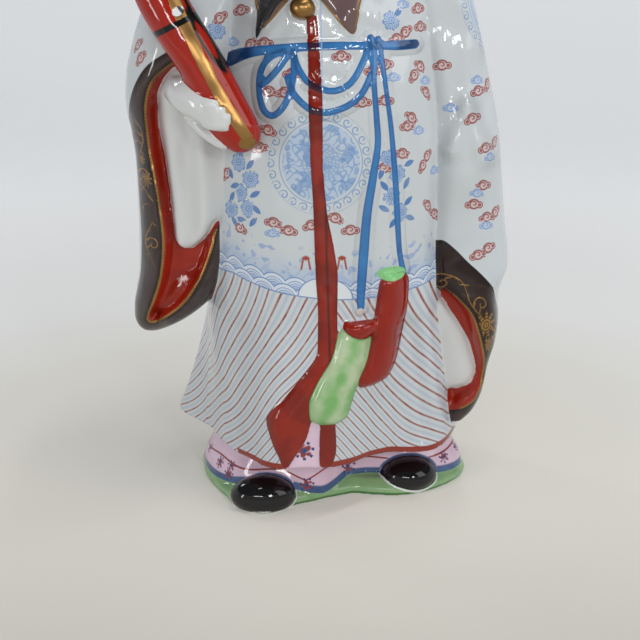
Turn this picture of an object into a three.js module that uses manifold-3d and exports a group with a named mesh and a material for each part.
// A standing porcelain figure of a robed court official: one hollow casting whose robe, sleeves,
// sceptre, shoes and low ground pad are all one piece. Millimetres, +Z up, the figure facing -Y, the
// sole of the pad on Z = 0.
import * as THREE from "three";
import { LoftGeometry } from "three/addons/geometries/LoftGeometry.js";
import { mergeVertices } from "three/addons/utils/BufferGeometryUtils.js";
import Module from "manifold-3d";

// Driving dimensions.
const HAT_TOP = 400;
const HEM = 27;
const WAIST = 133;
const COLLAR_TOP = 297;
const ROBE_TOP = 302;
const PAD_THICK = 5;
const BALL_RADIUS = 5.8;
const INNER_FOLD = 2.1;
const MOUTH_DEPTH = 8;
const MOUTH_LIP = 4.5;
// The middle of the whole outline, which is moved to the origin.
const MIDDLE = { x: -1.5, y: -5 };

const wasm = await Module();
wasm.setup();

const mix = (a, b, share) => a + (b - a) * share;
const clamp = (v) => Math.min(1, Math.max(0, v));
const ease = (v) => clamp(v) ** 2 * (3 - 2 * clamp(v));

// A smooth curve through rows of [place, value, value, ...] that never overshoots its rows.
function curve(rows) {
  const rate = (i, k) => {
    if (i === 0 || i === rows.length - 1) {
      const j = i === 0 ? 1 : i;
      return (rows[j][k] - rows[j - 1][k]) / (rows[j][0] - rows[j - 1][0]);
    }
    const before = (rows[i][k] - rows[i - 1][k]) / (rows[i][0] - rows[i - 1][0]);
    const after = (rows[i + 1][k] - rows[i][k]) / (rows[i + 1][0] - rows[i][0]);
    return before * after <= 0 ? 0 : (2 * before * after) / (before + after);
  };
  return (place) => {
    const at = Math.min(rows[rows.length - 1][0], Math.max(rows[0][0], place));
    let i = 0;
    while (i < rows.length - 2 && at > rows[i + 1][0]) i++;
    const step = rows[i + 1][0] - rows[i][0];
    const s = (at - rows[i][0]) / step;
    return rows[i].slice(1).map((low, n) => {
      const high = rows[i + 1][n + 1];
      return (
        low * (1 + 2 * s) * (1 - s) ** 2 +
        high * s * s * (3 - 2 * s) +
        step * (rate(i, n + 1) * s * (1 - s) ** 2 - rate(i + 1, n + 1) * s * s * (1 - s))
      );
    });
  };
}

// A closed plan outline given as [direction in degrees, reach], for any direction in radians.
function plan(rows) {
  const lap = (by) => rows.map(([degrees, reach]) => [degrees + by, reach]);
  const round = curve([...lap(-360).slice(-3), ...rows, ...lap(360).slice(0, 3)]);
  return (angle) => round((((angle * 180) / Math.PI) % 360 + 360) % 360)[0];
}

// The reach of a rounded rectangle with its own half sizes on all four sides.
function reachOf([left, right, front, back], angle, square = 2.5) {
  const across = Math.abs(Math.cos(angle)) / (Math.cos(angle) < 0 ? left : right);
  const deep = Math.abs(Math.sin(angle)) / (Math.sin(angle) < 0 ? front : back);
  return (across ** square + deep ** square) ** (-1 / square);
}

function solid(geometry) {
  const bare = new THREE.BufferGeometry();
  bare.setAttribute("position", geometry.getAttribute("position"));
  bare.setIndex(geometry.getIndex());
  const merged = mergeVertices(bare, 1e-4);
  return new wasm.Manifold(
    new wasm.Mesh({
      numProp: 3,
      vertProperties: merged.attributes.position.array,
      triVerts: new Uint32Array(merged.index.array),
    }),
  );
}

const loft = (sections) => solid(new LoftGeometry(sections, { capStart: true, capEnd: true }));
const heights = (low, high, count) => Array.from({ length: count + 1 }, (_, i) => mix(low, high, i / count));
const ringOf = (sides, point) => Array.from({ length: sides }, (_, i) => point((i / sides) * 2 * Math.PI));

// A stack of rounded rings between heights; size(z) gives the ring's left, right, front and back planes.
function stack(levels, sides, size, shape = (p) => p, square = 2.5) {
  return loft(
    levels.map((z) => {
      const [left, right, front, back] = size(z);
      const middle = { x: (left + right) / 2, y: (front + back) / 2 };
      const half = [(right - left) / 2, (right - left) / 2, (back - front) / 2, (back - front) / 2];
      return ringOf(sides, (angle) => {
        const squeezed = Math.atan2(half[2] * Math.sin(angle), half[0] * Math.cos(angle));
        const r = reachOf(half, squeezed, square);
        return shape(
          new THREE.Vector3(middle.x + r * Math.cos(squeezed), middle.y + r * Math.sin(squeezed), z),
        );
      });
    }),
  );
}

// A rounded bar along a path of [x, y, z, half width, half depth], its depth facing the front.
function bar(path, sides) {
  const points = path.map(([x, y, z]) => new THREE.Vector3(x, y, z));
  return loft(
    path.map(([, , , wide, deep], i) => {
      const next = points[Math.min(i + 1, path.length - 1)];
      const along = next.clone().sub(points[Math.max(i - 1, 0)]).normalize();
      const front = new THREE.Vector3(0, -1, 0).addScaledVector(along, along.y).normalize();
      const side = front.clone().cross(along);
      return ringOf(sides, (angle) =>
        points[i]
          .clone()
          .addScaledVector(side, wide * Math.cos(angle))
          .addScaledVector(front, deep * Math.sin(angle)),
      );
    }),
  );
}

// A bar whose path is smoothed: rows of [share, x, y, z, half width, half depth].
const smoothBar = (rows, steps, sides) => bar(heights(0, 1, steps).map(curve(rows)), sides);

function egg([x, y, z], [rx, ry, rz], around = 16, up = 10) {
  const ball = new THREE.SphereGeometry(1, around, up).scale(rx, ry, rz).translate(x, y, z);
  return solid(ball);
}

// The robe: body and skirt in one, from the hem to the neck.
const BODY = curve([
  [HEM, 55, 62, 53, 48],
  [WAIST, 55, 62, 53, 48],
  [160, 54, 61, 53, 47],
  [190, 52, 60, 51, 46],
  [226, 50, 57, 45, 44],
  [250, 52, 54, 42, 43],
  [270, 54, 50, 37, 41],
  [284, 44, 43, 30, 36],
  [294, 30, 30, 23, 28],
  [ROBE_TOP, 18, 18, 20, 20],
]);
const HEM_PLAN = plan([
  [0, 74],
  [17, 73],
  [37, 69],
  [59, 59],
  [90, 54],
  [121, 59],
  [144, 70],
  [153, 76],
  [160, 80],
  [166, 78.5],
  [171, 73.8],
  [179, 64.5],
  [188, 58],
  [198, 56],
  [212, 56],
  [224, 58],
  [237, 60],
  [246, 64],
  [252, 65],
  [262, 61],
  [276, 60],
  [287, 57],
  [300, 53],
  [310, 54],
  [318, 62],
  [325, 69],
  [333, 71],
  [346, 72],
]);
const SKIRT_FLARE = 1.15;
// On the figure's right the skirt hangs straighter and swings out only near the hem.
const SWING = { at: 172, wide: 38, extra: 0.75 };
const FOLDS = [
  { at: 36, wide: 8, deep: 4.2 },
  { at: 64, wide: 9, deep: 3.6 },
  { at: 95, wide: 11, deep: 4.8 },
  { at: 126, wide: 9, deep: 3.6 },
  { at: 152, wide: 8, deep: 4.2 },
];

function robeReach(angle, z) {
  const body = reachOf(BODY(z), angle);
  const degrees = (((angle * 180) / Math.PI) % 360 + 360) % 360;
  const swing = SKIRT_FLARE + SWING.extra * Math.exp(-(((degrees - SWING.at) / SWING.wide) ** 2));
  const flare = Math.max(0, (WAIST - z) / (WAIST - HEM)) ** swing;
  const folds = FOLDS.reduce((sum, f) => sum + f.deep * Math.exp(-(((degrees - f.at) / f.wide) ** 2)), 0);
  return mix(body, HEM_PLAN(angle), flare) + folds * (0.35 + 0.65 * flare) * ease((285 - z) / 60);
}

// The depth of the robe's front at a place seen from the front.
function robeFront(x, z) {
  let low = Math.PI;
  let high = 2 * Math.PI;
  for (let i = 0; i < 30; i++) {
    const angle = (low + high) / 2;
    if (robeReach(angle, z) * Math.cos(angle) < x) low = angle;
    else high = angle;
  }
  return robeReach(low, z) * Math.sin(low);
}

function robe() {
  const levels = [...heights(HEM, WAIST, 7), ...heights(WAIST + 19, 266, 6), ...heights(276, ROBE_TOP, 3)];
  return loft(
    levels.map((z) =>
      ringOf(42, (angle) => {
        const r = robeReach(angle, z);
        return new THREE.Vector3(r * Math.cos(angle), r * Math.sin(angle), z);
      }),
    ),
  );
}

// A raised strip on the robe's front: rows of [height, left, right, lift], highest along its middle.
function applied(rows, steps, across = 5, inner = 3) {
  const shape = curve(rows);
  return loft(
    heights(rows[0][0], rows[rows.length - 1][0], steps).map((z) => {
      const [left, right, lift] = shape(z);
      const places = heights(left, right, across);
      const front = places.map((x, i) => {
        const crown = Math.sqrt(1 - (2 * (i / across) - 1) ** 2 * 0.97);
        return new THREE.Vector3(x, robeFront(x, z) - lift * crown, z);
      });
      const back = places.map((x) => new THREE.Vector3(x, robeFront(x, z) + inner, z));
      return [...front, ...back.reverse()];
    }),
  );
}

// The under-robe below the hem, and the ground pad that the figure stands on.
const UNDER_PLAN = plan([
  [0, 77],
  [20, 74],
  [38, 68],
  [60, 56],
  [90, 51],
  [120, 55],
  [145, 60],
  [165, 62],
  [180, 61],
  [192, 59],
  [205, 57],
  [218, 54],
  [235, 48],
  [256, 43],
  [272, 40],
  [285, 35],
  [300, 31],
  [315, 34],
  [330, 48],
  [343, 66],
  [352, 74],
]);
const PAD_PLAN = plan([
  [0, 79],
  [20, 77],
  [38, 72],
  [60, 60],
  [90, 54],
  [120, 58],
  [145, 63],
  [165, 65],
  [180, 62],
  [193, 60.5],
  [206, 59.5],
  [218, 60],
  [229, 63.5],
  [238, 64],
  [245, 62],
  [256, 48],
  [265, 43],
  [280, 38],
  [297, 37],
  [310, 45],
  [318, 53],
  [326, 60],
  [333, 65],
  [342, 71],
  [352, 77],
]);
const planSolid = (outline, levels) =>
  loft(
    levels.map(([z, scale]) =>
      ringOf(38, (angle) => {
        const r = outline(angle) * scale;
        return new THREE.Vector3(r * Math.cos(angle), r * Math.sin(angle), z);
      }),
    ),
  );
const underRobe = () =>
  planSolid(UNDER_PLAN, [
    [1, 0.97],
    [6, 1],
    [11, 0.985],
    [17, 0.93],
    [24, 0.86],
    [HEM + 6, 0.8],
  ]);
const pad = () =>
  planSolid(PAD_PLAN, [
    [0, 0.985],
    [1.5, 1],
    [3.5, 0.99],
    [PAD_THICK, 0.95],
    [PAD_THICK + 2.5, 0.84],
  ]);

// A sleeve hangs from the shoulder as a bag whose mouth is a hollow sunk in its front, lined and edged.
const sunk = (mouth, low, high) => (p, front) => {
  const [left, right] = mouth(p.z);
  const inside = Math.min(p.x - left, right - p.x, (p.z - low) * 1.2, (high - p.z) * 1.2);
  if (front) p.y += MOUTH_DEPTH * ease(inside / MOUTH_LIP);
  return p;
};

const BENT_SLEEVE = curve([
  [84.2, -88.5, -79, -21, -6],
  [87, -91.2, -72, -25.5, 1],
  [92, -92.6, -63, -29.5, 8],
  [98, -92.4, -55.5, -32.5, 13],
  [106, -91, -48, -35, 18],
  [116, -89.2, -41, -37, 22],
  [130, -88.7, -36.5, -38, 25],
  [150, -88.6, -36, -38, 27],
  [170, -88.8, -37, -37.5, 28],
  [184, -90.3, -38, -38, 28],
  [197, -92.1, -38, -40, 28],
  [212, -90.8, -38, -43, 28],
  [222, -88.2, -36, -43, 28],
  [236, -84, -32, -40, 28],
  [250, -78.5, -26, -35, 28],
  [264, -71, -20, -29, 27],
  [277, -60, -14, -23, 24],
  [287, -46, -10, -16, 20],
]);
const BENT_MOUTH = curve([
  [91, -81, -80],
  [94, -84.2, -76],
  [98, -83, -70],
  [104, -80, -64],
  [111, -77.3, -59],
  [118, -75.4, -55.5],
  [130, -73.6, -51],
  [137, -73.4, -49],
  [143, -74, -46.5],
  [153, -75, -30],
  [177, -78.6, -30],
  [193, -79.4, -30],
  [203, -77.8, -30],
  [210, -75.5, -34],
  [218, -66, -46],
]);
const HANGING_SLEEVE = curve([
  [35, 67, 74, -21, -13],
  [42, 65, 80.3, -25, -3],
  [52, 63, 84.4, -29, 6],
  [66, 60, 86.8, -32, 12],
  [80, 57, 90.3, -34, 17],
  [93, 54, 91.2, -35, 20],
  [103, 52, 90.8, -35, 22],
  [109, 51, 92.6, -34.5, 24],
  [118, 50, 95.2, -34, 25],
  [127, 49, 94.6, -33, 26],
  [147, 48, 92.1, -31, 27],
  [167, 47, 90.2, -29, 27],
  [187, 46, 87.8, -28, 27],
  [206, 44, 83.5, -27, 27],
  [225, 40, 78.8, -26.5, 27],
  [244, 34, 73.6, -26, 27],
  [258, 27, 67, -24.5, 26],
  [270, 20, 59, -22, 25],
  [281, 15, 48.5, -18, 22],
  [289, 10, 37, -14, 18],
]);
const HANGING_MOUTH = curve([
  [45, 66, 70],
  [49, 65, 73.5],
  [54, 63, 79],
  [61, 62, 84],
  [70, 61, 83],
  [80, 59, 80.5],
  [95, 57, 76],
  [102, 56, 71.5],
  [109, 55, 64],
]);

function sleeve(size, mouth, low, high, levels, sides) {
  const sink = sunk(mouth, low, high);
  return stack(levels, sides, size, (p) => {
    const [, , front, back] = size(p.z);
    return sink(p, p.y < mix(front, back, 0.42));
  });
}
const bentSleeve = () =>
  sleeve(
    BENT_SLEEVE,
    BENT_MOUTH,
    91,
    218,
    [84.2, 87, 91, 97, 105, 116, 130, 150, 170, 188, 202, 212, 219, 229, 246, 265, 287],
    26,
  );
const hangingSleeve = () =>
  sleeve(
    HANGING_SLEEVE,
    HANGING_MOUTH,
    45,
    110,
    [35, 40, 47, 57, 70, 86, 99, 105, 110, 118, 130, 160, 195, 228, 256, 275, 289],
    24,
  );

// The pale inner sleeves, which hang in the two mouths in soft upright folds.
const INNER_LEFT = curve([
  [130, -64.5, -60, -36, -20],
  [133, -67.4, -56.5, -38.5, -18],
  [137, -68, -53, -39.5, -17],
  [142, -68.3, -49.5, -40, -16],
  [148, -69, -42, -40, -16],
  [155, -69.6, -40, -40, -16],
  [172, -71.6, -40, -40, -16],
  [190, -74, -40, -41, -16],
  [202, -73.5, -42, -43, -16],
  [209, -70.5, -46, -45.5, -18],
  [215, -65, -50, -46, -24],
]);
const innerLeft = () =>
  stack([130, 134, 142, 158, 184, 202, 210, 215], 16, INNER_LEFT, (p) => {
    if (p.y < -27) p.y += INNER_FOLD * Math.cos(((p.x + 67.5) / 14) * 2 * Math.PI) * -ease((205 - p.z) / 30);
    return p;
  });
const INNER_RIGHT = curve([
  [54, 62, 73.5, -22, -10],
  [58, 60, 79, -25, -8],
  [66, 58, 80.8, -27, -6],
  [78, 56, 78.8, -28.5, -6],
  [90, 54, 72.2, -29.5, -6],
  [98, 54, 65.2, -29.5, -8],
  [102.5, 56, 61.5, -28, -12],
]);
const innerRight = () => stack([54, 58, 70, 90, 102.5], 14, INNER_RIGHT);

// The sceptre leans across the shoulder, its cloud-shaped head beside the hat, its lower end in the fist.
const SCEPTRE = [
  [0, -30.6, -55, 180.3, 3.0, 3.0],
  [0.02, -31.4, -55, 182.2, 6.6, 6.6],
  [0.07, -33.8, -55, 186.8, 9.0, 8.6],
  [0.16, -38.3, -55, 193.5, 10.2, 9.7],
  [0.35, -50.4, -54, 216.7, 10.3, 9.8],
  [0.58, -68, -50, 245.2, 10.8, 9.8],
  [0.72, -74.5, -46, 261, 10.2, 9.2],
  [0.86, -78.5, -43, 277, 9.2, 8.2],
  [1, -80, -42, 292, 8, 7],
];
const sceptre = () =>
  smoothBar(SCEPTRE, 11, 10)
    .add(egg([-80, -44, 303], [14.5, 6.5, 11], 12, 7))
    .add(egg([-91, -43, 297], [8, 5.5, 7.5], 9, 6))
    .add(egg([-69, -43, 297], [8, 5.5, 7.5], 9, 6));

// The fist: the back of the hand, four fingers laid over the sceptre and a thumb along its under side.
function hand() {
  const palm = smoothBar(
    [
      [0, -64.5, -42, 206.5, 6.5, 6],
      [0.35, -58.5, -52.5, 204, 7.6, 6.8],
      [0.7, -51.5, -58, 200.8, 7.2, 6.2],
      [1, -46, -61.5, 198, 6.2, 4.5],
    ],
    5,
    10,
  );
  const reaches = [
    [-50.5, -43.6],
    [-50.8, -40.6],
    [-50.6, -38.4],
    [-50, -39.4],
  ];
  const fingers = reaches.map(([base, tip], i) =>
    smoothBar(
      [
        [0, base, -60, 203.3 - i * 3.15, 2.9, 2.8],
        [0.5, (base + tip) / 2, -64.2, 201.3 - i * 2.85, 2.5, 2.5],
        [1, tip, -65, 201.4 - i * 2.9, 1.9, 2.0],
      ],
      4,
      6,
    ),
  );
  const thumb = smoothBar(
    [
      [0, -58, -48, 196, 3.8, 4],
      [0.5, -51, -54, 188.8, 2.9, 3.4],
      [0.85, -44, -57.5, 184, 2.2, 2.8],
      [1, -40.6, -58, 182, 1.2, 1.8],
    ],
    4,
    6,
  );
  return wasm.Manifold.union([palm, thumb, ...fingers]);
}

// The front edge of the inner robe, its flare at the hem, and the two purses that hang on the ribbons.
const frontEdge = () =>
  applied(
    [
      [28, -16.6, -14.4, 1.2],
      [33, -18.3, -11.3, 2.0],
      [38, -20.8, -7.8, 2.4],
      [44, -23, -5, 2.6],
      [51, -24.6, -3.2, 2.8],
      [62, -16, 1, 2.6],
      [72, -8, 5.6, 2.2],
      [86, 0.2, 9.0, 1.9],
      [103, 0.4, 8.8, 1.7],
      [121, -0.7, 9.0, 1.5],
      [133, -1.2, 7.5, 1.3],
      [153, -1.8, 3.8, 1.1],
      [176, -3.2, 2.1, 1.0],
      [200, -4.0, 1.9, 0.9],
      [220, -4.3, 0.9, 0.8],
      [238, -4.8, -0.6, 0.7],
    ],
    10,
    3,
  );
const secondEdge = () =>
  applied(
    [
      [28, 0.6, 6.5, 1.2],
      [36, 0.6, 8.6, 1.6],
      [50, 1, 8, 1.6],
    ],
    3,
    3,
  );
const greenPurse = () =>
  applied(
    [
      [49.8, -0.5, 9.5, 1.5],
      [52.5, -3.8, 13.8, 4.5],
      [60, -4.6, 16.2, 6],
      [70, -0.8, 19.5, 6],
      [82, 6.5, 24, 5.6],
      [92, 9.8, 25, 5],
      [96, 11.5, 24, 2],
    ],
    6,
    4,
  );
const purseCap = () =>
  applied(
    [
      [91, 17, 23, 4],
      [93.6, 13.8, 28, 6.4],
      [97, 12.2, 30, 6.4],
      [99, 12.8, 30, 4.5],
    ],
    3,
    4,
  );
const redPurse = () =>
  applied(
    [
      [66, 20.3, 27, 2],
      [69, 19.3, 33.5, 4.5],
      [78, 22.8, 37.5, 5.6],
      [92, 26, 40.2, 6],
      [108, 28.2, 42.6, 6],
      [117, 29.5, 42.8, 5.4],
      [121, 31, 41, 3],
    ],
    6,
    4,
  );

// The pointed collar over chest and back: the robe's own surface lifted a little, down to a lobed
// lower edge.
const COLLAR_FRONT = curve([
  [-52, 286],
  [-40, 274],
  [-31, 258],
  [-26.5, 244],
  [-23.2, 232],
  [-21, 234],
  [-12, 245],
  [-6.2, 252],
  [1, 245],
  [12, 231.5],
  [14.3, 229.5],
  [18, 245],
  [23, 259],
  [34, 275],
  [50, 286],
]);
const COLLAR_BACK = curve([
  [-52, 286],
  [-40, 276],
  [-29, 264],
  [-16, 252],
  [-7, 258],
  [0, 264],
  [7, 258],
  [16, 252],
  [29, 264],
  [40, 276],
  [52, 286],
]);
function collar() {
  const lift = 1.3;
  const lowest = (angle) => {
    const rough = robeReach(angle, 255) * Math.cos(angle);
    return (Math.sin(angle) < 0 ? COLLAR_FRONT : COLLAR_BACK)(rough)[0];
  };
  const steps = [
    [0, -8],
    [0.02, lift],
    [0.4, lift],
    [0.8, lift],
    [1.02, -6],
  ];
  return loft(
    steps.map(([share, out]) =>
      ringOf(44, (angle) => {
        const z = mix(lowest(angle), COLLAR_TOP, share);
        const r = robeReach(angle, z) + out;
        return new THREE.Vector3(r * Math.cos(angle), r * Math.sin(angle), z);
      }),
    ),
  );
}

// The head: a calm, full face under a two-tier black hat with two short side flaps.
const HEAD = curve([
  [288, -13, 13, -24, 14],
  [296, -12, 12, -31, 14],
  [299, -15, 15, -35, 14],
  [304, -18.6, 18.6, -37.2, 16],
  [312, -21.6, 21.6, -38, 19],
  [322, -23.2, 23.2, -38, 22],
  [333, -23.4, 23.4, -37.6, 24],
  [343, -22.8, 22.8, -36, 24.5],
  [352, -20, 20, -31, 24],
]);
const bump = (x, z, at, wide, high) => Math.exp(-(((x - at[0]) / wide) ** 2) - ((z - at[1]) / high) ** 2);
function faceRelief(x, z) {
  const side = Math.abs(x);
  return (
    6.2 * bump(x, z, [0, 317.5], 3.4, 3.6) +
    3.4 * bump(x, z, [0, 324], 2.6, 6) +
    1.6 * bump(side, z, [4, 316.5], 2.4, 2.2) +
    1.2 * bump(side, z, [9, 334], 6, 2.2) -
    2.6 * bump(side, z, [9, 328.5], 5, 3.4) +
    1.5 * bump(side, z, [9, 327.6], 3.8, 2.0) +
    1.2 * bump(side, z, [13, 319], 5, 5) +
    1.4 * bump(x, z, [0, 309.6], 5, 2.4) +
    1.6 * bump(x, z, [0, 301.5], 6, 3)
  );
}
const head = () =>
  stack(
    [288, 298, 304, 309, 313, 317, 321, 325, 329, 334, 342, 350],
    22,
    HEAD,
    (p) => {
      if (p.y < -20) p.y -= faceRelief(p.x, p.z);
      return p;
    },
    2.2,
  );
const ears = () =>
  [-1, 1].map((side) => egg([side * 23.6, -3, 322], [3, 5.5, 9.5], 7, 6));

const HAT_BAND = curve([
  [341, -24, 24, -37.5, 25.5],
  [343, -25.6, 25.6, -39.6, 27],
  [352, -25.8, 25.8, -39, 27.5],
  [361, -24.6, 24.6, -35.5, 27.3],
  [366, -21, 21, -29, 26],
]);
const HAT_CROWN = curve([
  [354, -21, 21, -12, 27.5],
  [370, -20.4, 20.4, -13, 28],
  [385, -19.4, 19.4, -11, 27.5],
  [394, -16.5, 16.5, -7, 24.5],
  [398.5, -11.5, 11.5, -1, 19.5],
  [HAT_TOP, -6, 6, 4, 14.5],
]);
function hat() {
  const flaps = [-1, 1].map((side) => egg([side * 33, 13, 353], [17, 3.6, 7], 9, 6));
  return wasm.Manifold.union([
    stack([341, 344, 354, 361, 366], 18, HAT_BAND, undefined, 2.2),
    stack([356, 374, 387, 395, HAT_TOP], 16, HAT_CROWN, undefined, 2.4),
    egg([0, -39.5, 352], [4.4, 2.4, 5.6], 7, 5),
    ...flaps,
  ]);
}

// The long beard, blown to one side of the chest down to a fine tip, with side locks and a moustache.
function beard() {
  const main = smoothBar(
    [
      [0, 0, -33, 308, 12, 5],
      [0.12, 0, -39, 301, 15.5, 7],
      [0.3, -2, -44, 289, 16, 7.4],
      [0.5, -7, -46.5, 272, 12.6, 6],
      [0.66, -13.5, -46.5, 258, 8.4, 4.6],
      [0.8, -21.4, -45.6, 245.5, 4.2, 3.2],
      [0.92, -25.2, -45, 236, 2.2, 2],
      [1, -27.4, -44.6, 228.5, 0.7, 0.8],
    ],
    10,
    9,
  );
  const locks = [-1, 1].map((side) =>
    smoothBar(
      [
        [0, side * 21.5, -12, 322, 2.2, 3.5],
        [0.3, side * 20.5, -24, 308, 4, 4],
        [0.65, side * 15 - 2, -37, 292, 4.4, 4],
        [1, side * 10 - 6, -43, 272, 1.2, 1.5],
      ],
      4,
      6,
    ),
  );
  const moustache = [-1, 1].map((side) =>
    smoothBar(
      [
        [0, side * 1.5, -41.2, 312.6, 1.2, 1],
        [0.4, side * 7, -40.2, 311, 1.9, 1.5],
        [1, side * 12.5, -39.5, 300, 0.8, 1],
      ],
      4,
      6,
    ),
  );
  return wasm.Manifold.union([main, ...locks, ...moustache]);
}

const SHOES = [
  { at: [-27.6, -46.3, 6.2], size: [16.5, 11, 9.8] },
  { at: [47, -23.8, 7.6], size: [14.5, 12.2, 8.8] },
];
const shoes = () => SHOES.map(({ at, size }) => egg(at, size, 12, 7));

const ball = () => egg([-6.8, -46.5, 241.8], [BALL_RADIUS, 5, 5], 10, 7);

function figure() {
  const joined = wasm.Manifold.union([
    robe(),
    underRobe(),
    pad(),
    bentSleeve(),
    hangingSleeve(),
    innerLeft(),
    innerRight(),
    sceptre(),
    hand(),
    frontEdge(),
    secondEdge(),
    greenPurse(),
    purseCap(),
    redPurse(),
    collar(),
    head(),
    ...ears(),
    hat(),
    beard(),
    ...shoes(),
    ball(),
  ]).trimByPlane([0, 0, 1], 0);
  const { vertProperties, triVerts, numProp } = joined.getMesh();
  const geometry = new THREE.BufferGeometry();
  geometry.setAttribute("position", new THREE.BufferAttribute(vertProperties, numProp));
  geometry.setIndex(new THREE.BufferAttribute(triVerts, 1));
  geometry.translate(-MIDDLE.x, -MIDDLE.y, 0);
  geometry.computeVertexNormals();
  return geometry;
}

const glaze = new THREE.MeshStandardMaterial({ color: 0xe9ebec, roughness: 0.12, metalness: 0 });
const body = new THREE.Mesh(figure(), glaze);
body.name = "figure";

const part = new THREE.Group();
part.add(body);
export default part;
